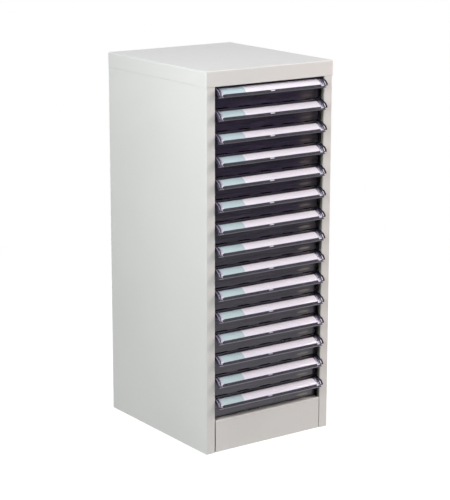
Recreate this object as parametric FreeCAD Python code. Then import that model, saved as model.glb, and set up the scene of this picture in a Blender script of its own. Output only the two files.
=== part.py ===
import FreeCAD
import Part
import math
import os

# Microscope slide cabinet: a folded steel carcass that holds fifteen moulded trays. Each tray
# slides out towards the front and is pulled by a curved hood along its top edge. The hood
# carries an index card under a clear cover.
#
# Millimetres and degrees. X runs from left to right seen from the front, Y from front to back,
# Z up. The origin is on the floor, midway across the carcass and midway between front and back.

# ---------------------------------------------------------------- driving dimensions
WIDTH = 280.0
DEPTH = 325.0
HEIGHT = 700.0
SHEET = 1.0                    # steel sheet of every carcass panel
BEND = 0.8                     # inside radius of a fold that shows; hidden folds are drawn sharp
FIT = 0.2                      # running and assembly clearance

CAP_SKIRT = 28.0               # how far the top cap reaches down; its front is the header
CAP_CORNER = 2.4               # outside radius of the cap's pressed edges
STILE_WIDTH = 20.0             # front edge of each side, cap thickness included
STILE_RETURN = 6.5             # inward fold that lines the opening
REAR_FLANGE = 15.0
PLINTH_TOP = 61.0
PLINTH_LEDGE = 30.0
PLINTH_HEM = 8.0               # turned-down rear edge of the plinth's ledge
PLINTH_FOOT = 24.0
PLINTH_GAP = 1.5               # open joint between the plinth and each stile
PAN_FLANGE = 20.0
TIE_RAIL_HEIGHT = 18.0
TIE_RAIL_DEPTH = 16.0
TIE_RAIL_CLEARANCE = 3.0       # above the cap's lower edge and behind the stiles' returns

TRAYS = 15
PITCH = 40.6
FIRST_TRAY_Z = 63.5            # underside of the lowest tray
TRAY_WIDTH = 235.0
TRAY_LENGTH = 298.0
TRAY_SETBACK = 13.0            # front wall of a tray, behind the front of the carcass
TRAY_WALL = 1.6
TRAY_FLOOR = 1.8
TRAY_CORNER = 3.0              # bevel of the rear corners
TRAVEL = 220.0                 # how far a tray pulls out before its stop lugs meet the lips
FUSE = 0.5                     # moulded features start this deep in the wall that carries them

HOOD_OUTER = 20.5              # outside radius of the curved hood
HOOD_WALL = 2.0
HOOD_END = 73.0                # angle of the hood's free edge, forward from straight up
FLANGE_RADIUS = 24.2           # end flanges that frame the label pocket
FLANGE_WALL = 2.0
FLANGE_START = -5.0
FLANGE_END = 65.0              # the hood and its bead run on below the flanges
FLANGE_TIP = 1.4               # bevel on the free corner of each flange
FLANGE_TOP = 38.2              # top of a tray, at its end flanges
BEAD_HEIGHT = 2.0              # the bead holds the cover's lower edge
BEAD_START = 68.5
LIP_DEPTH = 7.0                # flat land behind the hood that stiffens the front wall

LANES = 3                      # slides stand on edge in three lanes
RIB_HEIGHT = 5.0
RIB_WIDTH = 1.6
RIB_CREST = 1.0
SKIDS = 4                      # shallow pads under the floor
SKID_WIDTH = 25.0
SKID_DRAFT = 1.0               # how far each side of a skid leans in towards its running face
SKID_PITCH = 49.0
SKID_HEIGHT = 1.3
SKID_SETBACK = 12.0            # skids end this far before the rear wall

COVER_INNER = 21.7             # clear cover, over the card
COVER_WALL = 1.0
COVER_START = 5.0
COVER_END = 67.5
COVER_SIDE_GAP = 0.5
COVER_LIP = 3.0                # angle taken by each long edge's lip, which stands on the hood
CARD_INNER = 20.85
CARD_THICKNESS = 0.4
CARD_START = 11.5
CARD_END = 55.0
CARD_LENGTH = 217.0
TAB_WIDTH = 9.0                # pull tab on the card
TAB_END = 62.0
NOTCH_MARGIN = 0.6             # room round the tab in the cover's notch
NOTCH_START = 60.5

LEDGE_REACH = 113.5            # inner edge of a ledge, from the middle
LEDGE_SHEET = 1.2
LEDGE_LEG = 9.0
LEDGE_INSET = 2.0              # each end of a ledge, inside the end of its rack
RACK_FACE = 122.0              # inner face of a runner rack, from the middle
RACK_FRONT = -120.0
RACK_BACK = 146.0
RACK_FOOT = 11.0
RACK_BOTTOM = 42.0
RACK_TOP = 688.0
STOP_RAIL_WIDTH = 36.0
STOP_RAIL_FOOT = 12.0
STOP_LIP = 3.2                 # turned-down front end of a ledge
STOP_GAP = 0.5
LUG_HEIGHT = 3.7
LUG_LENGTH = 8.0
LUG_CREST = 3.0                # flat top of a lug, ahead of its ramp
SCREW_FLATS = 7.0              # hexagon heads, across the flats
SCREW_HEIGHT = 2.5
BACK_SCREWS = 5                # in each rear flange
BACK_SCREW_START = 60.0
BACK_SCREW_PITCH = 140.0
RACK_SCREW_INSET = 30.0        # from each end of a rack to its end screws

# ---------------------------------------------------------------- derived places
FRONT = -DEPTH / 2
BACK = DEPTH / 2
SIDE = WIDTH / 2
BODY_SIDE = SIDE - SHEET       # outside of the side panels, under the cap's skirt
BODY_FRONT = FRONT + SHEET
BODY_BACK = BACK - SHEET
BODY_TOP = HEIGHT - SHEET - CAP_CORNER
INNER_SIDE = BODY_SIDE - SHEET
RACK_SEAT = INNER_SIDE - SHEET # exposed skin of a rack's feet
PAN_BACK = BODY_BACK - 2 * SHEET   # inner skin of the back panel
OPENING_SIDE = SIDE - STILE_WIDTH
TRAY_SIDE = TRAY_WIDTH / 2
TRAY_FRONT = FRONT + TRAY_SETBACK
TRAY_BACK = TRAY_FRONT + TRAY_LENGTH
HOOD_AXIS_Y = TRAY_FRONT
HOOD_AXIS_Z = FLANGE_TOP - FLANGE_RADIUS
HOOD_INNER = HOOD_OUTER - HOOD_WALL
WALL_TOP = HOOD_AXIS_Z + HOOD_OUTER
POCKET_SIDE = TRAY_SIDE - FLANGE_WALL
LEDGE_FRONT = RACK_FRONT + LEDGE_INSET
LEDGE_BACK = RACK_BACK - LEDGE_INSET

os.makedirs("parts", exist_ok=True)
V = FreeCAD.Vector


# ---------------------------------------------------------------- helpers
def box(low, high):
    """Solid box between two opposite corners."""
    low, high = V(*low), V(*high)
    size = high - low
    return Part.makeBox(size.x, size.y, size.z, low)


def in_xy(u, v):
    return V(u, v, 0)


def in_xz(u, v):
    return V(u, 0, v)


def in_yz(u, v):
    return V(0, u, v)


def rounded_face(corners, plane):
    """Face inside a closed outline. A corner is (u, v, radius), and radius 0 leaves it sharp."""
    ends = []
    arcs = []
    for index, (u, v, radius) in enumerate(corners):
        before = corners[index - 1]
        after = corners[(index + 1) % len(corners)]
        corner = plane(u, v)
        if radius == 0:
            ends.append((corner, corner))
            arcs.append(None)
            continue
        back = (plane(before[0], before[1]) - corner).normalize()
        ahead = (plane(after[0], after[1]) - corner).normalize()
        half = back.getAngle(ahead) / 2
        reach = radius / math.tan(half)
        middle = corner + (back + ahead).normalize() * (radius / math.sin(half) - radius)
        ends.append((corner + back * reach, corner + ahead * reach))
        arcs.append(Part.Arc(ends[-1][0], middle, ends[-1][1]).toShape())
    edges = []
    for index, arc in enumerate(arcs):
        if arc:
            edges.append(arc)
        start = ends[index][1]
        stop = ends[(index + 1) % len(ends)][0]
        edges.append(Part.makeLine(start, stop))
    return Part.Face(Part.Wire(edges))


def sharp_face(outline, plane):
    return rounded_face([(u, v, 0) for u, v in outline], plane)


def folded_face(path, plane, sheet=SHEET):
    """Section of a folded sheet. The path follows one skin as (u, v, inside radius of the fold),
    the metal lies to its left, and radius 0 draws a fold sharp."""
    steps = [(b[0] - a[0], b[1] - a[1]) for a, b in zip(path, path[1:])]
    lengths = [math.hypot(*step) for step in steps]
    normals = [(-step[1] / size, step[0] / size) for step, size in zip(steps, lengths)]
    near = [(path[0][0], path[0][1], 0)]
    far = [(path[0][0] + normals[0][0] * sheet, path[0][1] + normals[0][1] * sheet, 0)]
    for (u, v, bend), first, second in zip(path[1:-1], normals, normals[1:]):
        share = sheet / (1 + first[0] * second[0] + first[1] * second[1])
        turns_left = first[0] * second[1] - first[1] * second[0] > 0
        outside = bend + sheet if bend else 0
        near.append((u, v, outside if turns_left else bend))
        far.append((u + (first[0] + second[0]) * share,
                    v + (first[1] + second[1]) * share,
                    bend if turns_left else outside))
    near.append((path[-1][0], path[-1][1], 0))
    far.append((path[-1][0] + normals[-1][0] * sheet, path[-1][1] + normals[-1][1] * sheet, 0))
    return rounded_face(near + far[::-1], plane)


def extruded(face, start, length):
    """Solid swept from a section: start moves the section first, and length is the sweep."""
    face.translate(start)
    return face.extrude(length)


def hood_point(radius, angle):
    """Point in the YZ plane at an angle forward from straight above the hood's axis."""
    turn = math.radians(angle)
    return in_yz(HOOD_AXIS_Y - radius * math.sin(turn), HOOD_AXIS_Z + radius * math.cos(turn))


def hood_arc(radius, start, end):
    middle = hood_point(radius, (start + end) / 2)
    return Part.Arc(hood_point(radius, start), middle, hood_point(radius, end)).toShape()


def hood_band(inner, outer, start, end, left, right):
    """Curved plate around the hood's axis, from one X to another."""
    edges = [hood_arc(outer, start, end),
             Part.makeLine(hood_point(outer, end), hood_point(inner, end)),
             hood_arc(inner, end, start),
             Part.makeLine(hood_point(inner, start), hood_point(outer, start))]
    return extruded(Part.Face(Part.Wire(edges)), V(left, 0, 0), V(right - left, 0, 0))


def mirrored(shape):
    return shape.mirror(V(0, 0, 0), V(1, 0, 0))


def fused(shapes):
    return shapes[0].multiFuse(shapes[1:]).removeSplitter()


def tray_z(index):
    """Underside of a tray, counted from 0 at the top."""
    return FIRST_TRAY_Z + (TRAYS - 1 - index) * PITCH


def save(node, shape):
    shape.exportStep("parts/" + node + ".step")


# ---------------------------------------------------------------- carcass
def top_cap():
    """Pressed lid whose skirt laps over the sides, the back and the stiles."""
    skirt_low = HEIGHT - CAP_SKIRT
    outer = box((-SIDE, FRONT, skirt_low), (SIDE, BACK, HEIGHT))
    inner = box((-BODY_SIDE, BODY_FRONT, skirt_low), (BODY_SIDE, BODY_BACK, HEIGHT - SHEET))
    pressed = [edge for edge in outer.Edges if edge.BoundBox.ZMax > skirt_low]
    return outer.makeFillet(CAP_CORNER, pressed).cut(inner)


def left_side_panel():
    """Side sheet folded into a front stile with a return, and into a rear flange."""
    section = [(-BODY_SIDE + REAR_FLANGE, BODY_BACK, 0),
               (-BODY_SIDE, BODY_BACK, 0),
               (-BODY_SIDE, BODY_FRONT, BEND),
               (-OPENING_SIDE, BODY_FRONT, BEND),
               (-OPENING_SIDE, BODY_FRONT + STILE_RETURN, 0)]
    return folded_face(section, in_xy).extrude(V(0, 0, BODY_TOP))


def back_panel():
    """Flat sheet held inside the rear flanges of the sides."""
    half = INNER_SIDE - FIT
    return box((-half, PAN_BACK, 0), (half, PAN_BACK + SHEET, BODY_TOP))


def base_pan():
    """Floor of the carcass, with its sides and its back folded up against the panels."""
    front = BODY_FRONT + STILE_RETURN + FIT
    section = [(-INNER_SIDE, PAN_FLANGE, 0), (-INNER_SIDE, 0, 0),
               (INNER_SIDE, 0, 0), (INNER_SIDE, PAN_FLANGE, 0)]
    channel = extruded(folded_face(section, in_xz), V(0, front, 0), V(0, PAN_BACK - front, 0))
    rear = box((-INNER_SIDE, PAN_BACK - SHEET, 0), (INNER_SIDE, PAN_BACK, PAN_FLANGE))
    return fused([channel, rear])


def plinth_panel():
    """Kick plate between the stiles, with a ledge on top and a foot that laps the base pan."""
    ledge_back = BODY_FRONT + PLINTH_LEDGE
    section = [(ledge_back, PLINTH_TOP - PLINTH_HEM, 0),
               (ledge_back, PLINTH_TOP, 0),
               (BODY_FRONT, PLINTH_TOP, BEND),
               (BODY_FRONT, SHEET, 0),
               (BODY_FRONT + PLINTH_FOOT, SHEET, 0)]
    half = OPENING_SIDE - PLINTH_GAP
    return extruded(folded_face(section, in_yz), V(-half, 0, 0), V(2 * half, 0, 0))


def left_runner_rack():
    """Hat-section upright on the side panel that carries the ledges."""
    section = [(-RACK_SEAT, RACK_FRONT - RACK_FOOT, 0),
               (-RACK_SEAT, RACK_FRONT, 0),
               (-RACK_FACE, RACK_FRONT, 0),
               (-RACK_FACE, RACK_BACK, 0),
               (-RACK_SEAT, RACK_BACK, 0),
               (-RACK_SEAT, RACK_BACK + RACK_FOOT, 0)]
    height = V(0, 0, RACK_TOP - RACK_BOTTOM)
    return extruded(folded_face(section, in_xy), V(0, 0, RACK_BOTTOM), height)


def left_ledge(top):
    """Angle under one edge of a tray, with a stop lip turned down at its front end."""
    section = [(-LEDGE_REACH, top, 0), (-RACK_FACE, top, 0), (-RACK_FACE, top - LEDGE_LEG, 0)]
    angle = extruded(folded_face(section, in_xz, sheet=LEDGE_SHEET),
                     V(0, LEDGE_FRONT, 0), V(0, LEDGE_BACK - LEDGE_FRONT, 0))
    under = top - LEDGE_SHEET
    lip = box((-TRAY_SIDE, LEDGE_FRONT, under - STOP_LIP),
              (-LEDGE_REACH, LEDGE_FRONT + LEDGE_SHEET, under))
    return fused([angle, lip])


def left_ledges():
    """One ledge below each tray, and one more whose lip stops the top tray."""
    tops = [tray_z(index) - FIT for index in range(-1, TRAYS)]
    return Part.makeCompound([left_ledge(top) for top in tops])


def front_tie_rail():
    """Channel behind the header that ties the two sides together."""
    low = HEIGHT - CAP_SKIRT + TIE_RAIL_CLEARANCE
    high = low + TIE_RAIL_HEIGHT
    near = BODY_FRONT + STILE_RETURN + TIE_RAIL_CLEARANCE
    far = near + TIE_RAIL_DEPTH
    section = [(far, high, 0), (near, high, 0), (near, low, 0), (far, low, 0)]
    return extruded(folded_face(section, in_yz), V(-INNER_SIDE, 0, 0), V(2 * INNER_SIDE, 0, 0))


def rear_stop_rail():
    """Hat section up the middle of the back panel, where each closed tray comes to rest."""
    face = TRAY_BACK + STOP_GAP
    skin = PAN_BACK - SHEET
    crown = STOP_RAIL_WIDTH / 2
    foot = crown + STOP_RAIL_FOOT
    section = [(-foot, skin, 0), (-crown, skin, 0), (-crown, face, 0),
               (crown, face, 0), (crown, skin, 0), (foot, skin, 0)]
    height = V(0, 0, RACK_TOP - RACK_BOTTOM)
    return extruded(folded_face(section, in_xy), V(0, 0, RACK_BOTTOM), height)


def screw_head(centre, outward):
    """Hexagon head of a self-tapping screw, seated on a panel."""
    corner = SCREW_FLATS / math.sqrt(3)
    angles = [math.radians(60 * step) for step in range(6)]
    outline = [(corner * math.cos(angle), corner * math.sin(angle)) for angle in angles]
    head = sharp_face(outline, in_xy).extrude(V(0, 0, SCREW_HEIGHT))
    head.Placement = FreeCAD.Placement(centre, FreeCAD.Rotation(V(0, 0, 1), outward))
    return head


def back_screws():
    """Two columns of screws through the rear flanges."""
    across = BODY_SIDE - REAR_FLANGE / 2
    heights = [BACK_SCREW_START + row * BACK_SCREW_PITCH for row in range(BACK_SCREWS)]
    return Part.makeCompound([screw_head(V(side * across, BODY_BACK, z), V(0, 1, 0))
                              for side in (-1, 1) for z in heights])


def rack_screws():
    """Screws that fix the feet of both racks to the side panels."""
    columns = (RACK_FRONT - RACK_FOOT / 2, RACK_BACK + RACK_FOOT / 2)
    heights = (RACK_BOTTOM + RACK_SCREW_INSET,
               (RACK_BOTTOM + RACK_TOP) / 2,
               RACK_TOP - RACK_SCREW_INSET)
    return Part.makeCompound([screw_head(V(side * RACK_SEAT, y, z), V(-side, 0, 0))
                              for side in (-1, 1) for y in columns for z in heights])


# ---------------------------------------------------------------- trays
def tray_plan(inset, low, high):
    """Upright block on the tray's plan, drawn in all round and bevelled at the rear corners."""
    side = TRAY_SIDE - inset
    near = TRAY_FRONT + inset
    far = TRAY_BACK - inset
    bevel = TRAY_CORNER - inset * (2 - math.sqrt(2))
    outline = [(-side, near), (side, near), (side, far - bevel),
               (side - bevel, far), (-side + bevel, far), (-side, far - bevel)]
    return extruded(sharp_face(outline, in_xy), V(0, 0, low), V(0, 0, high - low))


def tray_shell():
    """Open box with bevelled rear corners and walls of one thickness."""
    return tray_plan(0, 0, WALL_TOP).cut(tray_plan(TRAY_WALL, TRAY_FLOOR, WALL_TOP))


def ridge(centre, low, low_width, high, high_width, start, end):
    """Drafted rib along Y: its section goes from low_width at low to high_width at high."""
    outline = [(centre - low_width / 2, low), (centre + low_width / 2, low),
               (centre + high_width / 2, high), (centre - high_width / 2, high)]
    return extruded(sharp_face(outline, in_xz), V(0, start, 0), V(0, end - start, 0))


def lane_ribs():
    """Low ribs on the floor, between the lanes."""
    lane = (TRAY_WIDTH - 2 * TRAY_WALL) / LANES
    return [ridge((index - LANES / 2) * lane,
                  TRAY_FLOOR - FUSE, RIB_WIDTH, TRAY_FLOOR + RIB_HEIGHT, RIB_CREST,
                  TRAY_FRONT + FUSE, TRAY_BACK - FUSE)
            for index in range(1, LANES)]


def skids():
    """Shallow pads under the floor, flush with the front wall."""
    running_width = SKID_WIDTH - 2 * SKID_DRAFT
    return [ridge((index - (SKIDS - 1) / 2) * SKID_PITCH,
                  -SKID_HEIGHT, running_width, FUSE, SKID_WIDTH,
                  TRAY_FRONT, TRAY_BACK - SKID_SETBACK)
            for index in range(SKIDS)]


def end_flange():
    """Curved cheek at the right end of the hood, with a bevelled free corner."""
    flange = hood_band(HOOD_INNER, FLANGE_RADIUS, FLANGE_START, FLANGE_END, POCKET_SIDE, TRAY_SIDE)
    tip = hood_point(FLANGE_RADIUS, FLANGE_END) + V(TRAY_SIDE - FLANGE_WALL / 2, 0, 0)
    corner = min(flange.Edges, key=lambda edge: (edge.CenterOfMass - tip).Length)
    return flange.makeChamfer(FLANGE_TIP, [corner])


def hood():
    """Curved pull along the top of the front wall, with end flanges and a bead on its edge."""
    plate = hood_band(HOOD_INNER, HOOD_OUTER, 0, HOOD_END, -TRAY_SIDE, TRAY_SIDE)
    land = box((-TRAY_SIDE, TRAY_FRONT, WALL_TOP - HOOD_WALL),
               (TRAY_SIDE, TRAY_FRONT + LIP_DEPTH, WALL_TOP))
    bead = hood_band(HOOD_OUTER - FUSE, HOOD_OUTER + BEAD_HEIGHT, BEAD_START, HOOD_END,
                     -TRAY_SIDE, TRAY_SIDE)
    flange = end_flange()
    return [plate, land, bead, flange, mirrored(flange)]


def stop_lugs():
    """Lugs on the side walls that meet the ledges' lips when the tray is fully out."""
    start = LEDGE_FRONT + LEDGE_SHEET + TRAVEL + STOP_GAP
    crest = WALL_TOP + LUG_HEIGHT
    ramp = [(start, WALL_TOP - FUSE), (start + LUG_LENGTH, WALL_TOP - FUSE),
            (start + LUG_CREST, crest), (start, crest)]
    lug = extruded(sharp_face(ramp, in_yz), V(TRAY_SIDE - TRAY_WALL, 0, 0), V(TRAY_WALL, 0, 0))
    return [lug, mirrored(lug)]


def tray():
    return fused([tray_shell()] + lane_ribs() + skids() + hood() + stop_lugs())


def label_cover():
    """Clear curved strip whose lips stand on the hood, notched around the card's tab."""
    side = POCKET_SIDE - COVER_SIDE_GAP
    outer = COVER_INNER + COVER_WALL
    foot = HOOD_OUTER + FIT
    strip = hood_band(COVER_INNER, outer, COVER_START, COVER_END, -side, side)
    upper_lip = hood_band(foot, outer, COVER_START, COVER_START + COVER_LIP, -side, side)
    lower_lip = hood_band(foot, outer, COVER_END - COVER_LIP, COVER_END, -side, side)
    half = TAB_WIDTH / 2 + NOTCH_MARGIN
    notch = hood_band(HOOD_OUTER, outer + FUSE, NOTCH_START, HOOD_END, -half, half)
    return fused([strip, upper_lip, lower_lip]).cut(notch)


def label_card():
    """Index card bent to the hood, with a small pull tab on its lower edge."""
    outer = CARD_INNER + CARD_THICKNESS
    card = hood_band(CARD_INNER, outer, CARD_START, CARD_END, -CARD_LENGTH / 2, CARD_LENGTH / 2)
    tab = hood_band(CARD_INNER, outer, CARD_END, TAB_END, -TAB_WIDTH / 2, TAB_WIDTH / 2)
    return fused([card, tab])


# ---------------------------------------------------------------- the assembly
side_panel = left_side_panel()
rack = left_runner_rack()
ledges = left_ledges()
save("top_cap", top_cap())
save("left_side_panel", side_panel)
save("right_side_panel", mirrored(side_panel))
save("back_panel", back_panel())
save("base_pan", base_pan())
save("plinth_panel", plinth_panel())
save("left_runner_rack", rack)
save("right_runner_rack", mirrored(rack))
save("left_ledges", ledges)
save("right_ledges", mirrored(ledges))
save("front_tie_rail", front_tie_rail())
save("rear_stop_rail", rear_stop_rail())
save("back_screws", back_screws())
save("rack_screws", rack_screws())

drawer = {"tray": tray(), "label_cover": label_cover(), "label_card": label_card()}
for index in range(TRAYS):
    for piece, shape in drawer.items():
        placed = shape.copy()
        placed.translate(V(0, 0, tray_z(index)))
        save("{}_{:02d}".format(piece, index + 1), placed)
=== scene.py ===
import math

import bmesh
import bpy
from mathutils import Matrix, Vector


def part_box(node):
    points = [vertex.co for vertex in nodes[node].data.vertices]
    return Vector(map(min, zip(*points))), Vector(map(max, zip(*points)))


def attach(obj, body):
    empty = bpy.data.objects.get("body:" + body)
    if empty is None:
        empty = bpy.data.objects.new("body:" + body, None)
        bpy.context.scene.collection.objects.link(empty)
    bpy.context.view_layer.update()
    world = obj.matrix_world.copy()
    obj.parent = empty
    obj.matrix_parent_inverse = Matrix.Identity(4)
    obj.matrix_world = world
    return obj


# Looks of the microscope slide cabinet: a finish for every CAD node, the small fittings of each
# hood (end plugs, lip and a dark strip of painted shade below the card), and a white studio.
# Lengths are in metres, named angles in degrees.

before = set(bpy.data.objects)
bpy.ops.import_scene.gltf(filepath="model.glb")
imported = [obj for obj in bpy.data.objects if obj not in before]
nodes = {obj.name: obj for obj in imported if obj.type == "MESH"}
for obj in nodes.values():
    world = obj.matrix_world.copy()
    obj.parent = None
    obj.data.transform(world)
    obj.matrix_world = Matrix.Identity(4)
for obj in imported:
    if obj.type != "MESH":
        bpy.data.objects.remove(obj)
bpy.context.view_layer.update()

MM = 0.001
TRAYS = 15
DRAWERS = ["{:02d}".format(number) for number in range(1, TRAYS + 1)]

# ---------------------------------------------------------------- places read from the model's nodes
cap_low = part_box("top_cap")[0]
tray_low, tray_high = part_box("tray_01")
next_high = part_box("tray_02")[1]
plinth_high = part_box("plinth_panel")[1]
back_low, back_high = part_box("back_panel")

PITCH = tray_high.z - next_high.z
FLANGE_RADIUS = 24.2 * MM      # end flanges of the hood
HOOD_RADIUS = 20.5 * MM        # outside of the hood
COVER_RADIUS = 21.7 * MM       # inside of the clear cover
CARD_RADIUS = 21.25 * MM       # outside of the index card
TAB_ANGLES = (55.0, 58.0)      # root and crease of the card's finger tab, forward from straight up
POCKET_SIDE = 115.5 * MM       # inner faces of the end flanges, from the middle
TRAY_SETBACK = 13.0 * MM
OPENING_SIDE = 120.0 * MM      # inner edge of each stile, from the middle
HOOD_AXIS_Y = cap_low.y + TRAY_SETBACK
HOOD_AXIS_Z = tray_high.z - FLANGE_RADIUS
LOWEST_CARD = HOOD_AXIS_Z - (TRAYS - 1) * PITCH

PLUG_INNER = 108.9 * MM        # end plugs of the label pocket, from the middle
PLUG_OUTER = 115.3 * MM
PLUG_TOP = 8.4                 # degrees forward from straight above the hood's axis
PLUG_FOOT = 57.0
PLUG_BOTTOM = 64.0
PLUG_GAP = 0.06 * MM
PLUG_FACE = 21.1 * MM
PLUG_CREST = COVER_RADIUS - PLUG_GAP
PLUG_RIM = 1.1 * MM
PEG_PLACE = 112.6 * MM
PEG_ANGLE = 41.0
PEG_RING = 1.15 * MM
PEG_WIRE = 0.42 * MM
BUTTON_PLACE = 111.4 * MM
BUTTON_RADIUS = 1.15 * MM
BUTTON_TAPER = 0.8             # the button's crest, as a share of its foot
WEDGE_ANGLES = (8.4, 27.0)     # dark stop between the card's corner and the plug
WEDGE_SIDES = (109.1 * MM, 111.9 * MM)
MARGIN_INNER = 105.7 * MM      # margin strip of the left plug, over the card's end
MARGIN_OUTER = 108.75 * MM
MARGIN_ANGLES = (9.0, 51.0)
MARGIN_FOOT_ANGLE = 51.2       # where the strip's white foot starts
MARGIN_FOOT_REACH = 1.6 * MM   # how far this foot laps over the plug
FLANGE_EDGES = (115.5 * MM, 117.5 * MM)
OVERLAY_RADII = (FLANGE_RADIUS + 0.03 * MM, FLANGE_RADIUS + 0.20 * MM)   # on the flange's edge
OUTLINE_SIDES = (FLANGE_EDGES[0] + 0.1 * MM, FLANGE_EDGES[1] - 0.3 * MM)
OUTLINE_ANGLES = (2.0, 61.0)   # pale outline painted as a highlight on the left flange's edge
BEAD_RADIUS = HOOD_RADIUS + 2.0 * MM
BEAD_LINE_RADII = (BEAD_RADIUS + 0.04 * MM, BEAD_RADIUS + 0.18 * MM)
BEAD_LINE_ANGLES = (68.8, 71.0)           # where that painted highlight goes on along the bead
# Dark spring hook outside the right flange: root, free end in front of the stile, and tip.
HOOK_RUNS = (
    ((117.55 * MM, 119.70 * MM), (22.4 * MM, 24.6 * MM), (2.0, 37.2)),
    ((117.55 * MM, 121.30 * MM), (22.2 * MM, 24.3 * MM), (37.2, 61.5)),
    ((117.90 * MM, 121.10 * MM), (22.6 * MM, 23.7 * MM), (61.5, 64.5)),
)
SLEEVE_ANGLES = (44.0, 61.5)   # pale sleeve on the flange, beside the hook's free end
CARD_SHADE_SIDE = 115.0 * MM         # dark strip of painted shade on the hood, below the card, half its length
CARD_SHADE_RADII = (20.54 * MM, 20.80 * MM)
CARD_SHADE_ANGLES = (55.6, 67.6)
HIGHLIGHT_PLACE = (88.0 * MM, 7.0 * MM)       # painted highlight patch on each front: centre and half sizes
HIGHLIGHT_SIZE = (17.0 * MM, 2.8 * MM)
GREEN_EDGE = -58.0 * MM        # right end of the card's green part
LIP_SIDE = 115.0 * MM          # raised lip behind the hood's crest, half its length
LIP_FOOT = 34.52 * MM
LIP_CREST = 38.1 * MM
LIP_DEPTH = 1.3 * MM
LIP_SETBACK = 0.1 * MM
LIP_STEPS = 8                  # facets of the lip's rounded top
FLOOR_FAR_GLOW = 0.08          # how bright the far floor looks in reflections
FLOOR_LIT = 0.20               # how bright the lamps alone make the floor
SHADOW_SHARE = 0.3             # how much of that light the floor shows near the object
FLOOR_GLOW_REACH = (0.3, 2.3)  # distances over which the reflected floor fades
FLOOR_SHADOW_REACH = (1.5, 0.4)            # and over which its shadow sets in
FLOOR_RADIUS = 14.0
FLOOR_SIDES = 96

# ---------------------------------------------------------------- fades: each from 0 to 1
DARK_SIDE = (OPENING_SIDE + 0.6 * MM, OPENING_SIDE + 0.2 * MM)      # painted shade inside the carcass
DARK_FRONT = (cap_low.y + 1.6 * MM, cap_low.y + 2.6 * MM)
DARK_TOP = (cap_low.z + 0.5 * MM, cap_low.z)
DARK_FOOT = (plinth_high.z, plinth_high.z + 1.0 * MM)
DARK_BACK = (back_high.y - 0.2 * MM, back_low.y + 0.2 * MM)
DOWN_THE_STACK = (HOOD_AXIS_Z, LOWEST_CARD)
STREAK_LEFT = (60.0 * MM, 90.0 * MM)        # painted highlight streak on each tray's front
STREAK_RIGHT = (116.0 * MM, 100.0 * MM)
HIGHLIGHT_RIM = (1.0, 0.1)                    # of the patch's reach, 1 at its rim
HIGHLIGHT_FRONT = (HOOD_AXIS_Y + 1.0 * MM, HOOD_AXIS_Y)
BEAD_FRONT = (HOOD_AXIS_Y - 19.6 * MM, HOOD_AXIS_Y - 20.2 * MM)
BEAD_END = (POCKET_SIDE + 0.1 * MM, POCKET_SIDE - 0.1 * MM)
PLUG_BY_CARD = (PEG_PLACE - 0.3 * MM, PEG_PLACE - 1.3 * MM)
OUTLINE_END = (-PLUG_INNER, -PLUG_INNER - 2.0 * MM)
RIM_FOOT = (HOOD_RADIUS * 0.86, HOOD_RADIUS * 0.60)
RIM_CORNER = (-PLUG_INNER - 2.2 * MM, -PLUG_INNER - 1.0 * MM)
# Painted shade towards the card's lower edge
CARD_LOWER_SHADE = (HOOD_AXIS_Y - CARD_RADIUS * 0.35, HOOD_AXIS_Y - CARD_RADIUS * 0.80)
root_y, crease_y = (HOOD_AXIS_Y - CARD_RADIUS * math.sin(math.radians(angle)) for angle in TAB_ANGLES)
# Painted shade along the crease at the finger tab's root
CREASE_TOP = (root_y, root_y - 0.1 * MM)
CREASE_FOOT = (crease_y, crease_y + 0.1 * MM)
# Painted shade on the finger tab, growing down the stack
TAB_TOP = (crease_y, crease_y - 0.2 * MM)


# ---------------------------------------------------------------- material helpers
class Nodes:
    """Makes the nodes of one tree and links them."""

    def __init__(self, tree):
        self.tree = tree

    def add(self, kind, **settings):
        node = self.tree.nodes.new(kind)
        for key, value in settings.items():
            setattr(node, key, value)
        return node

    def link(self, start, end):
        self.tree.links.new(start, end)

    def maths(self, operation, first, second=0.0):
        node = self.add("ShaderNodeMath", operation=operation)
        for socket, value in zip(node.inputs, (first, second)):
            if isinstance(value, float):
                socket.default_value = value
            else:
                self.link(value, socket)
        return node.outputs["Value"]

    def shaders(self, factor, first, second):
        """Mix of two shaders."""
        node = self.add("ShaderNodeMixShader")
        self.link(factor, node.inputs["Fac"])
        self.link(first, node.inputs[1])
        self.link(second, node.inputs[2])
        return node.outputs["Shader"]


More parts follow.
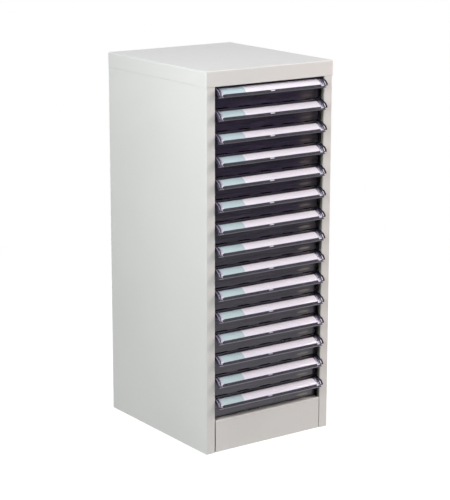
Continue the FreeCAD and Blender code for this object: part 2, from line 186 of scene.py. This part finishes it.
class Shader(Nodes):
    """A material under construction."""

    def __init__(self, name):
        self.material = bpy.data.materials.new(name)
        self.material.use_nodes = True
        super().__init__(self.material.node_tree)
        self.bsdf = self.tree.nodes["Principled BSDF"]
        self.place = self.add("ShaderNodeTexCoord").outputs["Object"]

    def set(self, **values):
        """Sets the principled shader's own sockets; underscores stand for spaces."""
        for key, value in values.items():
            self.bsdf.inputs[key.replace("_", " ")].default_value = value

    def axes(self):
        """Object coordinates, one by one."""
        node = self.add("ShaderNodeSeparateXYZ")
        self.link(self.place, node.inputs["Vector"])
        return node.outputs

    def stretched(self, across, deep, up):
        """Object coordinates scaled along each axis."""
        mapping = self.add("ShaderNodeMapping")
        mapping.inputs["Scale"].default_value = (across, deep, up)
        self.link(self.place, mapping.inputs["Vector"])
        return mapping.outputs["Vector"]

    def noise(self, scale, detail=2.0, roughness=0.5, vector=None):
        node = self.add("ShaderNodeTexNoise")
        node.inputs["Scale"].default_value = scale
        node.inputs["Detail"].default_value = detail
        node.inputs["Roughness"].default_value = roughness
        self.link(vector or self.place, node.inputs["Vector"])
        return node.outputs["Fac"]

    def remap(self, value, low, high, start=0.3, end=0.7):
        node = self.add("ShaderNodeMapRange")
        settings = (("From Min", start), ("From Max", end), ("To Min", low), ("To Max", high))
        for key, number in settings:
            node.inputs[key].default_value = number
        self.link(value, node.inputs["Value"])
        return node.outputs["Result"]

    def smooth(self, value, start, end):
        """Rises smoothly from 0 at start to 1 at end."""
        node = self.add("ShaderNodeMapRange", interpolation_type="SMOOTHSTEP")
        node.inputs["From Min"].default_value = start
        node.inputs["From Max"].default_value = end
        self.link(value, node.inputs["Value"])
        return node.outputs["Result"]

    def mixed(self, factor, first, second):
        """Colour mix; each end is a colour or the output of a node."""
        node = self.add("ShaderNodeMix", data_type="RGBA")
        self.link(factor, node.inputs["Factor"])
        for socket, value in ((node.inputs["A"], first), (node.inputs["B"], second)):
            if isinstance(value, tuple):
                socket.default_value = value
            else:
                self.link(value, socket)
        return node.outputs["Result"]

    def product(self, first, *others):
        """Masks multiplied with each other, in the order given."""
        for other in others:
            first = self.maths("MULTIPLY", first, other)
        return first

    def emission(self, strength):
        node = self.add("ShaderNodeEmission")
        self.link(strength, node.inputs["Strength"])
        return node.outputs["Emission"]

    def bump(self, height, depth, strength=1.0, normal=None):
        node = self.add("ShaderNodeBump")
        node.inputs["Strength"].default_value = strength
        node.inputs["Distance"].default_value = depth
        self.link(height, node.inputs["Height"])
        if normal:
            self.link(normal, node.inputs["Normal"])
        return node.outputs["Normal"]

    def eased_edges(self, radius):
        """Shading normal that rolls over sharp edges."""
        node = self.add("ShaderNodeBevel", samples=4)
        node.inputs["Radius"].default_value = radius
        return node.outputs["Normal"]

    def finish(self, colour, roughness, normal):
        self.link(colour, self.bsdf.inputs["Base Color"])
        self.link(roughness, self.bsdf.inputs["Roughness"])
        self.link(normal, self.bsdf.inputs["Normal"])
        return self.material


def rgb(red, green, blue):
    return (red, green, blue, 1.0)


# ---------------------------------------------------------------- materials
def inside_shade_mask(s):
    """Mask of painted shade: 1 on the faces inside the carcass, 0 on its outside and its front frame."""
    axes = s.axes()
    return s.product(
        s.smooth(s.maths("ABSOLUTE", axes["X"]), *DARK_SIDE),
        s.smooth(axes["Y"], *DARK_FRONT),
        s.smooth(axes["Z"], *DARK_TOP),
        s.smooth(axes["Z"], *DARK_FOOT),
        s.smooth(axes["Y"], *DARK_BACK))


def painted_steel():
    """Pale grey powder coat with fine orange peel and faint tonal drift, and painted shade inside the
    carcass.
    """
    s = Shader("painted_steel")
    drift = s.remap(s.noise(5.0, detail=3.0), 0.0, 1.0)
    speck = s.remap(s.noise(1400.0), 0.0, 1.0)
    base = s.mixed(drift, rgb(0.690, 0.697, 0.650), rgb(0.722, 0.722, 0.676))
    grain = s.mixed(speck, rgb(0.96, 0.96, 0.96), rgb(1.0, 1.0, 1.0))
    # Painted shade: the faces inside the carcass are given a dark grey.
    base = s.mixed(inside_shade_mask(s), base, rgb(0.26, 0.26, 0.21))
    colour = s.add("ShaderNodeMix", data_type="RGBA", blend_type="MULTIPLY")
    colour.inputs["Factor"].default_value = 1.0
    s.link(base, colour.inputs["A"])
    s.link(grain, colour.inputs["B"])
    roughness = s.remap(s.noise(90.0, detail=3.0), 0.38, 0.48)
    peel = s.bump(s.noise(620.0, detail=2.0), depth=0.00006, normal=s.eased_edges(radius=0.0007))
    s.set(Specular_IOR_Level=0.45)
    return s.finish(colour.outputs["Result"], roughness, peel)


def rack_steel():
    """Satin grey enamel on the inner steelwork."""
    s = Shader("rack_steel")
    tone = s.remap(s.noise(40.0, detail=4.0), 0.0, 1.0)
    colour = s.mixed(tone, rgb(0.29, 0.29, 0.27), rgb(0.36, 0.36, 0.34))
    roughness = s.remap(s.noise(160.0), 0.36, 0.52)
    normal = s.bump(s.noise(700.0), depth=0.00005, normal=s.eased_edges(radius=0.0004))
    s.set(Metallic=0.2)
    return s.finish(colour, roughness, normal)


def screw_steel():
    """Bright zinc plating with fine drawn scratches."""
    s = Shader("screw_steel")
    lines = s.noise(1.0, detail=3.0, vector=s.stretched(900.0, 900.0, 4000.0))
    tone = s.remap(lines, 0.0, 1.0)
    colour = s.mixed(tone, rgb(0.48, 0.49, 0.50), rgb(0.64, 0.64, 0.62))
    roughness = s.remap(lines, 0.24, 0.42)
    normal = s.bump(lines, depth=0.00002, normal=s.eased_edges(radius=0.0004))
    s.set(Metallic=1.0)
    return s.finish(colour, roughness, normal)


def front_highlight_streak(s, axes, flow):
    """Painted highlight: a paler olive streak on each tray's front, towards its right end."""
    return s.product(s.smooth(axes["X"], *STREAK_LEFT), s.smooth(axes["X"], *STREAK_RIGHT),
                     s.remap(flow, 0.1, 0.6))


def front_highlight_patch(s, axes, flow, lowness):
    """Painted highlight: a pale oval patch on the front of each tray, stronger on the lower ones."""
    level = s.maths("FLOORED_MODULO", s.maths("SUBTRACT", axes["Z"], tray_low.z), PITCH)
    sideways = s.maths("DIVIDE", s.maths("SUBTRACT", axes["X"], HIGHLIGHT_PLACE[0]), HIGHLIGHT_SIZE[0])
    upwards = s.maths("DIVIDE", s.maths("SUBTRACT", level, HIGHLIGHT_PLACE[1]), HIGHLIGHT_SIZE[1])
    reach = s.maths("ADD", s.maths("MULTIPLY", sideways, sideways),
                    s.maths("MULTIPLY", upwards, upwards))
    return s.product(s.smooth(reach, *HIGHLIGHT_RIM), s.smooth(axes["Y"], *HIGHLIGHT_FRONT),
                     s.remap(flow, 0.5, 1.0), s.remap(lowness, 0.2, 1.0, start=0.0, end=0.5))


def smoke_plastic():
    """Glossy smoke-grey polystyrene with faint flow marks and handling scuffs. Painted highlights: a
    streak and an oval patch on each front, and a painted highlight on the bead along the hood's
    lower edge that is paler on the lower trays."""
    s = Shader("smoke_plastic")
    flow = s.noise(1.0, detail=4.0, roughness=0.6, vector=s.stretched(14.0, 60.0, 190.0))
    tone = s.remap(flow, 0.0, 1.0)
    colour = s.mixed(tone, rgb(0.015, 0.010, 0.028), rgb(0.048, 0.035, 0.070))
    axes = s.axes()
    lowness = s.smooth(axes["Z"], *DOWN_THE_STACK)
    # Painted highlight: a paler streak towards the right end of each front.
    colour = s.mixed(front_highlight_streak(s, axes, flow), colour, rgb(0.105, 0.095, 0.078))
    # Painted highlight: a pale oval patch on each front, stronger down the stack.
    colour = s.mixed(front_highlight_patch(s, axes, flow, lowness), colour, rgb(0.24, 0.215, 0.20))
    bead = s.product(s.smooth(axes["Y"], *BEAD_FRONT),
                     s.smooth(s.maths("ABSOLUTE", axes["X"]), *BEAD_END))
    # Painted highlight on the bead: dark on the top tray, paler down the stack.
    bead_highlight_colour = s.mixed(lowness, rgb(0.030, 0.024, 0.038), rgb(0.120, 0.112, 0.140))
    colour = s.mixed(bead, colour, bead_highlight_colour)
    scuff = s.noise(1.0, detail=5.0, roughness=0.7, vector=s.stretched(90.0, 400.0, 900.0))
    roughness = s.remap(scuff, 0.09, 0.20)
    normal = s.bump(flow, depth=0.0005, strength=0.6, normal=s.eased_edges(radius=0.0004))
    s.set(IOR=1.75)
    return s.finish(colour, roughness, normal)


def clear_plastic():
    """Clear label cover: see-through, with a faint milky cast and wipe marks."""
    s = Shader("clear_plastic")
    haze = s.noise(1.0, detail=4.0, vector=s.stretched(30.0, 260.0, 260.0))
    tone = s.remap(haze, 0.0, 1.0)
    colour = s.mixed(tone, rgb(0.42, 0.40, 0.46), rgb(0.60, 0.58, 0.66))
    roughness = s.remap(haze, 0.04, 0.10)
    normal = s.bump(haze, depth=0.0002, strength=0.2, normal=s.eased_edges(radius=0.0003))
    s.set(Alpha=0.02, IOR=1.5)
    return s.finish(colour, roughness, normal)


def plug_plastic():
    """Cloudy plastic of the end plugs, with painted light: the right plug pale, the left one dark with
    painted shade.
    """
    s = Shader("plug_plastic")
    cloud = s.noise(420.0, detail=3.0)
    tone = s.remap(cloud, 0.0, 1.0)
    across = s.axes()["X"]
    # Painted light on the right plug, palest on its half next to the card; painted shade makes the left
    # plug dark.
    by_card = s.smooth(across, *PLUG_BY_CARD)
    right = s.mixed(by_card, s.mixed(tone, rgb(0.28, 0.27, 0.35), rgb(0.40, 0.38, 0.48)),
                    s.mixed(tone, rgb(0.66, 0.64, 0.74), rgb(0.78, 0.75, 0.86)))
    left = s.mixed(tone, rgb(0.050, 0.047, 0.070), rgb(0.090, 0.085, 0.120))
    colour = s.mixed(s.maths("GREATER_THAN", across, 0.0), left, right)
    roughness = s.remap(cloud, 0.20, 0.34)
    normal = s.bump(cloud, depth=0.0001, strength=0.4, normal=s.eased_edges(radius=0.0002))
    return s.finish(colour, roughness, normal)


def pale_plastic():
    """Frosted lilac-grey plastic of the margin strip, button and sleeves, duller on the left flange's
    outline; that outline and its run along the bead are painted highlights."""
    s = Shader("pale_plastic")
    cloud = s.noise(500.0, detail=3.0)
    tone = s.remap(cloud, 0.0, 1.0)
    colour = s.mixed(tone, rgb(0.44, 0.43, 0.53), rgb(0.56, 0.54, 0.65))
    outline = s.smooth(s.axes()["X"], *OUTLINE_END)
    colour = s.mixed(outline, colour, s.mixed(tone, rgb(0.20, 0.19, 0.26), rgb(0.27, 0.26, 0.34)))
    roughness = s.remap(cloud, 0.26, 0.40)
    normal = s.bump(cloud, depth=0.0001, strength=0.3, normal=s.eased_edges(radius=0.0002))
    return s.finish(colour, roughness, normal)


def hook_plastic():
    """Black plastic of the spring hooks and the small stops."""
    s = Shader("hook_plastic")
    grain = s.noise(700.0, detail=3.0)
    colour = s.mixed(s.remap(grain, 0.0, 1.0), rgb(0.007, 0.005, 0.010), rgb(0.014, 0.011, 0.018))
    roughness = s.remap(grain, 0.20, 0.30)
    normal = s.bump(grain, depth=0.0001, strength=0.3, normal=s.eased_edges(radius=0.0002))
    s.set(Specular_IOR_Level=0.02)
    return s.finish(colour, roughness, normal)


def plug_edge_plastic():
    """The plugs' rims: dim plastic with a painted highlight that makes their lower part nearly white."""
    s = Shader("plug_edge_plastic")
    cloud = s.noise(600.0, detail=2.0)
    tone = s.remap(cloud, 0.0, 1.0)
    # Painted highlight: the lower part of each rim is nearly white.
    painted_glint = s.product(s.smooth(s.axes()["Z"], *RIM_FOOT), s.smooth(s.axes()["X"], *RIM_CORNER))
    dim = s.mixed(tone, rgb(0.15, 0.14, 0.18), rgb(0.26, 0.24, 0.30))
    bright = s.mixed(tone, rgb(0.72, 0.68, 0.78), rgb(0.90, 0.86, 0.95))
    colour = s.mixed(painted_glint, dim, bright)
    roughness = s.remap(cloud, 0.16, 0.30)
    normal = s.bump(cloud, depth=0.0001, strength=0.3, normal=s.eased_edges(radius=0.0002))
    return s.finish(colour, roughness, normal)


def below_card_shade():
    """Painted shade: smooth dark material of the strip below the card."""
    s = Shader("below_card_shade")
    grain = s.noise(1.0, detail=3.0, vector=s.stretched(60.0, 500.0, 500.0))
    colour = s.mixed(s.remap(grain, 0.0, 1.0), rgb(0.010, 0.009, 0.020), rgb(0.024, 0.022, 0.040))
    roughness = s.remap(grain, 0.08, 0.16)
    normal = s.bump(grain, depth=0.0001, strength=0.4, normal=s.eased_edges(radius=0.0002))
    s.set(Specular_IOR_Level=0.35)
    return s.finish(colour, roughness, normal)


def card_paper():
    """Index card: white with a pale green end and a faint paper tooth. Painted shade darkens its lower
    edge, most on the lower trays, the crease at its finger tab's root, and the tab itself down the
    stack."""
    s = Shader("card_paper")
    axes = s.axes()
    forward = axes["Y"]
    is_green = s.maths("LESS_THAN", axes["X"], GREEN_EDGE)
    fibre = s.remap(s.noise(900.0, detail=4.0), 0.0, 1.0)
    white = s.mixed(fibre, rgb(0.94, 0.92, 0.97), rgb(0.97, 0.95, 0.99))
    green = s.mixed(fibre, rgb(0.51, 0.66, 0.675), rgb(0.55, 0.70, 0.715))
    colour = s.mixed(is_green, white, green)
    low_tray = s.remap(axes["Z"], 1.0, 0.35, start=LOWEST_CARD, end=HOOD_AXIS_Z)
    # Painted shade towards the card's lower edge, stronger on the lower trays.
    lower_edge_shade = s.product(s.smooth(forward, *CARD_LOWER_SHADE), low_tray)
    shaded_colour = s.mixed(is_green, rgb(0.77, 0.755, 0.84), rgb(0.44, 0.575, 0.585))
    colour = s.mixed(lower_edge_shade, colour, shaded_colour)
    # Painted shade along the crease at the tab's root.
    crease_shade = s.product(s.smooth(forward, *CREASE_TOP), s.smooth(forward, *CREASE_FOOT))
    colour = s.mixed(crease_shade, colour, rgb(0.20, 0.15, 0.20))
    # Painted shade on the finger tab, growing down the stack.
    tab_shade = s.product(s.smooth(forward, *TAB_TOP), s.smooth(axes["Z"], *DOWN_THE_STACK))
    colour = s.mixed(tab_shade, colour, rgb(0.26, 0.24, 0.34))
    roughness = s.remap(fibre, 0.62, 0.78, start=0.0, end=1.0)
    normal = s.bump(s.noise(1500.0, detail=3.0), depth=0.00003)
    s.set(Specular_IOR_Level=0.3, Coat_Weight=0.6, Coat_Roughness=0.06)
    return s.finish(colour, roughness, normal)


def studio_white(name):
    """Paper floor: white to the camera and, near the object, in reflections. Around the object
    it keeps a soft shadow, and its reflection falls off where the paper ends."""
    s = Shader(name)
    path = s.add("ShaderNodeLightPath").outputs
    span = s.add("ShaderNodeVectorMath", operation="LENGTH")
    s.link(s.place, span.inputs[0])
    distance = span.outputs["Value"]
    mottle = s.remap(s.noise(3.0, detail=2.0), 0.50, 0.53)
    colour = s.add("ShaderNodeCombineColor")
    for channel in ("Red", "Green", "Blue"):
        s.link(mottle, colour.inputs[channel])
    s.link(colour.outputs["Color"], s.bsdf.inputs["Base Color"])
    s.set(Roughness=0.9, Specular_IOR_Level=0.0)
    paper = s.bsdf.outputs["BSDF"]
    near = s.smooth(distance, *FLOOR_SHADOW_REACH)
    even = (1.0 - SHADOW_SHARE * FLOOR_LIT) / (1.0 - SHADOW_SHARE)
    glow = s.emission(s.remap(near, 1.0, even, start=0.0, end=1.0))
    lit = s.shaders(s.maths("MULTIPLY", near, SHADOW_SHARE), glow, paper)
    glow_start, glow_end = FLOOR_GLOW_REACH
    fade = s.remap(distance, 1.0, FLOOR_FAR_GLOW, start=glow_start, end=glow_end)
    glossy = s.shaders(path["Is Glossy Ray"], paper, s.emission(fade))
    seen = s.maths("MAXIMUM", path["Is Camera Ray"], path["Is Transmission Ray"])
    s.link(s.shaders(seen, glossy, lit), s.tree.nodes["Material Output"].inputs["Surface"])
    return s.material


def dress(piece, material):
    """Puts one material in every slot of a piece."""
    if not piece.data.materials:
        piece.data.materials.append(material)
    for index in range(len(piece.data.materials)):
        piece.data.materials[index] = material


STEEL = painted_steel()
RACK = rack_steel()
ZINC = screw_steel()
SMOKE = smoke_plastic()
CLEAR = clear_plastic()
PLUG = plug_plastic()
PLUG_EDGE = plug_edge_plastic()
PALE = pale_plastic()
HOOK = hook_plastic()
CARD_SHADE = below_card_shade()
CARD = card_paper()

for name in ("top_cap", "left_side_panel", "right_side_panel", "back_panel", "base_pan", "plinth_panel"):
    dress(nodes[name], STEEL)
for name in ("left_runner_rack", "right_runner_rack", "left_ledges", "right_ledges",
             "front_tie_rail", "rear_stop_rail"):
    dress(nodes[name], RACK)
for name in ("back_screws", "rack_screws"):
    dress(nodes[name], ZINC)
for number in DRAWERS:
    dress(nodes["tray_" + number], SMOKE)
    dress(nodes["label_cover_" + number], CLEAR)
    dress(nodes["label_card_" + number], CARD)


# ---------------------------------------------------------------- small fittings of the hoods
def on_hood(across, radius, angle):
    """Point about the hood's axis, at an angle forward from straight up."""
    turn = math.radians(angle)
    return Vector((across, -radius * math.sin(turn), radius * math.cos(turn)))


def add_band(shape, across, radii, angles, material, step=4.0):
    """Closed curved block between two X places, two radii and two angles."""
    count = max(1, round((angles[1] - angles[0]) / step))
    rows = []
    for index in range(count + 1):
        angle = angles[0] + (angles[1] - angles[0]) * index / count
        places = ((across[0], radii[0]), (across[1], radii[0]),
                  (across[1], radii[1]), (across[0], radii[1]))
        rows.append([shape.verts.new(on_hood(x, radius, angle)) for x, radius in places])
    faces = [shape.faces.new(rows[0]), shape.faces.new(rows[-1][::-1])]
    for near, far in zip(rows, rows[1:]):
        for side in range(4):
            after = (side + 1) % 4
            faces.append(shape.faces.new((near[side], far[side], far[after], near[after])))
    for face in faces:
        face.material_index = material


def add_peg_ring(shape, material, around=20, section=8):
    """Dark ring round the peg that holds the plug."""
    rings = []
    for index in range(around):
        turn = 2 * math.pi * index / around
        ring = []
        for part in range(section):
            tilt = 2 * math.pi * part / section
            reach = PEG_RING + PEG_WIRE * math.cos(tilt)
            across = PEG_PLACE + reach * math.cos(turn)
            angle = PEG_ANGLE + math.degrees(reach * math.sin(turn) / PLUG_FACE)
            height = PLUG_FACE + PEG_WIRE * math.sin(tilt)
            ring.append(shape.verts.new(on_hood(across, height, angle)))
        rings.append(ring)
    for index, ring in enumerate(rings):
        after = rings[(index + 1) % around]
        for part in range(section):
            beside = (part + 1) % section
            face = shape.faces.new((ring[part], after[part], after[beside], ring[beside]))
            face.smooth = True
            face.material_index = material


def add_wedge(shape, material):
    """Dark stop at the card's upper corner, narrowing downwards to a point."""
    left, right = WEDGE_SIDES
    middle = (left + right) / 2
    corners = ((left, WEDGE_ANGLES[0]), (right, WEDGE_ANGLES[0]), (middle, WEDGE_ANGLES[1]))
    low = [shape.verts.new(on_hood(x, PLUG_FACE - PLUG_GAP, angle)) for x, angle in corners]
    high = [shape.verts.new(on_hood(x, PLUG_FACE + PEG_WIRE, angle)) for x, angle in corners]
    faces = [shape.faces.new(high), shape.faces.new(low[::-1])]
    for index in range(len(corners)):
        after = (index + 1) % len(corners)
        faces.append(shape.faces.new((low[index], low[after], high[after], high[index])))
    for face in faces:
        face.material_index = material


def add_button(shape, material, around=16):
    """Round button on the plug's face."""
    rims = []
    for radius, height in ((BUTTON_RADIUS, PLUG_FACE), (BUTTON_RADIUS * BUTTON_TAPER, PLUG_CREST)):
        turns = [2 * math.pi * index / around for index in range(around)]
        rims.append([shape.verts.new(on_hood(BUTTON_PLACE + radius * math.cos(turn), height,
                                             PEG_ANGLE + math.degrees(radius * math.sin(turn) / height)))
                     for turn in turns])
    low, high = rims
    faces = [shape.faces.new(low), shape.faces.new(high[::-1])]
    for index in range(around):
        after = (index + 1) % around
        faces.append(shape.faces.new((low[index], low[after], high[after], high[index])))
    for face in faces:
        face.material_index = material


PLUG_MATERIALS = (PLUG, PLUG_EDGE, HOOK, PALE)
PLATE, EDGE, DARK, LIGHT = range(len(PLUG_MATERIALS))      # places in that list


def finished(shape, name, materials):
    """Mesh of a closed shape, with its faces turned outwards."""
    bmesh.ops.recalc_face_normals(shape, faces=shape.faces)
    mesh = bpy.data.meshes.new(name)
    shape.to_mesh(mesh)
    shape.free()
    for material in materials:
        mesh.materials.append(material)
    return mesh


def start_plug():
    """What both plugs share: a curved plate with raised rims and a foot."""
    shape = bmesh.new()
    full = (PLUG_TOP, PLUG_BOTTOM)
    inner_rim = PLUG_INNER + PLUG_RIM / 2
    outer_rim = PLUG_OUTER - PLUG_RIM
    add_band(shape, (PLUG_INNER, PLUG_OUTER), (HOOD_RADIUS + PLUG_GAP, PLUG_FACE), full, PLATE)
    add_band(shape, (outer_rim, PLUG_OUTER), (PLUG_FACE, PLUG_CREST), full, EDGE)
    add_band(shape, (PLUG_INNER, inner_rim), (PLUG_FACE, PLUG_CREST), full, EDGE)
    add_band(shape, (inner_rim, outer_rim), (PLUG_FACE, PLUG_CREST), (PLUG_FOOT, PLUG_BOTTOM), EDGE)
    return shape


def right_plug():
    """Plug with a ringed peg, a card stop, a pale sleeve and a hook that stands clear of it."""
    shape = start_plug()
    add_peg_ring(shape, DARK)
    add_wedge(shape, DARK)
    add_band(shape, FLANGE_EDGES, OVERLAY_RADII, SLEEVE_ANGLES, LIGHT)
    for across, radii, angles in HOOK_RUNS:
        add_band(shape, across, radii, angles, DARK)
    return finished(shape, "right_end_plug", PLUG_MATERIALS)


def left_plug():
    """Plug with a button, a margin strip over the card's end and a pale outline painted as a highlight
    along the flange's edge and the bead, built as if on the right and then mirrored."""
    shape = start_plug()
    add_button(shape, LIGHT)
    margin = (CARD_RADIUS + PLUG_GAP, PLUG_CREST)
    foot_sides = (MARGIN_INNER, PLUG_INNER + MARGIN_FOOT_REACH)
    bead_sides = (MARGIN_OUTER, OUTLINE_SIDES[1])
    add_band(shape, (MARGIN_INNER, MARGIN_OUTER), margin, MARGIN_ANGLES, LIGHT)
    add_band(shape, foot_sides, margin, (MARGIN_FOOT_ANGLE, PLUG_FOOT), EDGE)
    # Painted highlights: pale lines along the flange's edge and on along the bead.
    add_band(shape, OUTLINE_SIDES, OVERLAY_RADII, OUTLINE_ANGLES, LIGHT)
    add_band(shape, bead_sides, BEAD_LINE_RADII, BEAD_LINE_ANGLES, LIGHT)
    mesh = finished(shape, "left_end_plug", PLUG_MATERIALS)
    mesh.transform(Matrix.Scale(-1.0, 4, (1.0, 0.0, 0.0)))
    mesh.flip_normals()
    return mesh


def card_shade_mesh():
    """Dark strip of painted shade that lies on the hood between the card and the bead."""
    shape = bmesh.new()
    add_band(shape, (-CARD_SHADE_SIDE, CARD_SHADE_SIDE), CARD_SHADE_RADII, CARD_SHADE_ANGLES, 0)
    return finished(shape, "card_shade_strip", (CARD_SHADE,))


def lip_mesh():
    """Raised lip behind the hood's crest, with a rounded top."""
    shape = bmesh.new()
    radius = LIP_DEPTH / 2
    low = LIP_FOOT - LIP_CREST + FLANGE_RADIUS
    middle = FLANGE_RADIUS - radius
    outline = [(-LIP_DEPTH - LIP_SETBACK, low), (-LIP_SETBACK, low)]
    for index in range(LIP_STEPS + 1):
        turn = math.pi * index / LIP_STEPS
        outline.append((-radius - LIP_SETBACK + radius * math.cos(turn),
                        middle + radius * math.sin(turn)))
    ends = [[shape.verts.new((x, -forward, up)) for forward, up in outline]
            for x in (-LIP_SIDE, LIP_SIDE)]
    shape.faces.new(ends[0])
    shape.faces.new(ends[1][::-1])
    for index in range(len(outline)):
        after = (index + 1) % len(outline)
        shape.faces.new((ends[0][index], ends[0][after], ends[1][after], ends[1][index]))
    return finished(shape, "top_lip", (SMOKE,))


FITTINGS = {
    "right_end_plug": (right_plug(), "cover_plastic"),
    "left_end_plug": (left_plug(), "cover_plastic"),
    "top_lip": (lip_mesh(), "tray_plastic"),
    "card_shade_strip": (card_shade_mesh(), "tray_plastic"),
}
for index, number in enumerate(DRAWERS):
    for fitting, (mesh, slot) in FITTINGS.items():
        piece = bpy.data.objects.new("{}_{}".format(fitting, number), mesh)
        bpy.context.scene.collection.objects.link(piece)
        piece.location = (0.0, HOOD_AXIS_Y, HOOD_AXIS_Z - index * PITCH)
        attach(piece, "drawer_" + number)


# ---------------------------------------------------------------- studio
def floor():
    mesh = bpy.data.meshes.new("floor")
    shape = bmesh.new()
    bmesh.ops.create_circle(shape, cap_ends=True, segments=FLOOR_SIDES, radius=FLOOR_RADIUS)
    shape.to_mesh(mesh)
    shape.free()
    piece = bpy.data.objects.new("floor", mesh)
    bpy.context.scene.collection.objects.link(piece)
    dress(piece, studio_white("studio_floor"))


def softbox(name, place, aim, size, watts, colour):
    lamp = bpy.data.lights.new(name, "AREA")
    lamp.shape = "RECTANGLE"
    lamp.size, lamp.size_y = size
    lamp.energy = watts
    lamp.color = colour
    holder = bpy.data.objects.new(name, lamp)
    bpy.context.scene.collection.objects.link(holder)
    holder.location = place
    holder.rotation_euler = (Vector(aim) - Vector(place)).to_track_quat("-Z", "Y").to_euler()


def studio_world(ambient):
    """White to the camera, in reflections and through clear parts; a soft light otherwise."""
    world = bpy.data.worlds.new("studio")
    bpy.context.scene.world = world
    world.use_nodes = True
    w = Nodes(world.node_tree)
    light = w.tree.nodes["Background"]
    light.inputs["Color"].default_value = AMBIENT_COLOUR
    light.inputs["Strength"].default_value = ambient
    white = w.add("ShaderNodeBackground")
    white.inputs["Color"].default_value = rgb(1.0, 1.0, 1.0)
    white.inputs["Strength"].default_value = 1.0
    path = w.add("ShaderNodeLightPath").outputs
    seen = w.maths("MAXIMUM", path["Is Camera Ray"], path["Is Glossy Ray"])
    seen = w.maths("MAXIMUM", seen, path["Is Transmission Ray"])
    choice = w.shaders(seen, light.outputs["Background"], white.outputs["Background"])
    w.link(choice, w.tree.nodes["World Output"].inputs["Surface"])


def camera():
    """Long lens, from the left front and a little above the middle of the cabinet."""
    azimuth = math.radians(VIEW_AZIMUTH)
    elevation = math.radians(VIEW_ELEVATION)
    data = bpy.data.cameras.new("camera")
    data.sensor_width = SENSOR_WIDTH
    data.lens = SENSOR_WIDTH * FOCAL_PIXELS / IMAGE_HEIGHT
    data.clip_end = VIEW_REACH
    piece = bpy.data.objects.new("camera", data)
    bpy.context.scene.collection.objects.link(piece)
    back = Vector((math.sin(azimuth) * math.cos(elevation),
                   -math.cos(azimuth) * math.cos(elevation),
                   math.sin(elevation)))
    roll = Matrix.Rotation(math.radians(VIEW_ROLL), 4, "Z")
    turn = (-back).to_track_quat("-Z", "Y").to_matrix().to_4x4() @ roll
    piece.matrix_world = Matrix.Translation(VIEW_TARGET + back * VIEW_DISTANCE) @ turn
    bpy.context.scene.camera = piece


VIEW_AZIMUTH = -35.13
VIEW_ELEVATION = 13.81
VIEW_ROLL = 0.106
VIEW_DISTANCE = 3.24
VIEW_TARGET = Vector((0.0147, 0.0, 0.3297))
VIEW_REACH = 100.0
SENSOR_WIDTH = 36.0            # in millimetres, as Blender has it
FOCAL_PIXELS = 1707.0
IMAGE_HEIGHT = 500.0           # in pixels
AMBIENT = 0.26
AMBIENT_COLOUR = rgb(0.955, 0.955, 1.0)
LAMP_AIM = (0.0, 0.0, 0.42)
# Each lamp: name, place, size, watts and colour.
LAMPS = (
    ("key", (-1.1, -0.5, 1.02), (0.8, 0.8), 15.2, (0.935, 0.96, 1.0)),
    ("fill", (1.45, -0.87, 1.05), (0.45, 1.1), 26.0, (1.0, 0.862, 0.86)),
    ("top_light", (0.1, -0.2, 2.3), (1.4, 1.4), 8.3, (0.78, 0.84, 1.0)),
    ("back_light", (1.5, 2.0, 0.35), (1.2, 0.7), 13.6, (0.955, 0.955, 1.0)),
)

floor()
studio_world(AMBIENT)
for name, place, size, watts, colour in LAMPS:
    softbox(name, place, LAMP_AIM, size, watts, colour)
camera()

bpy.context.scene.view_settings.view_transform = "Standard"
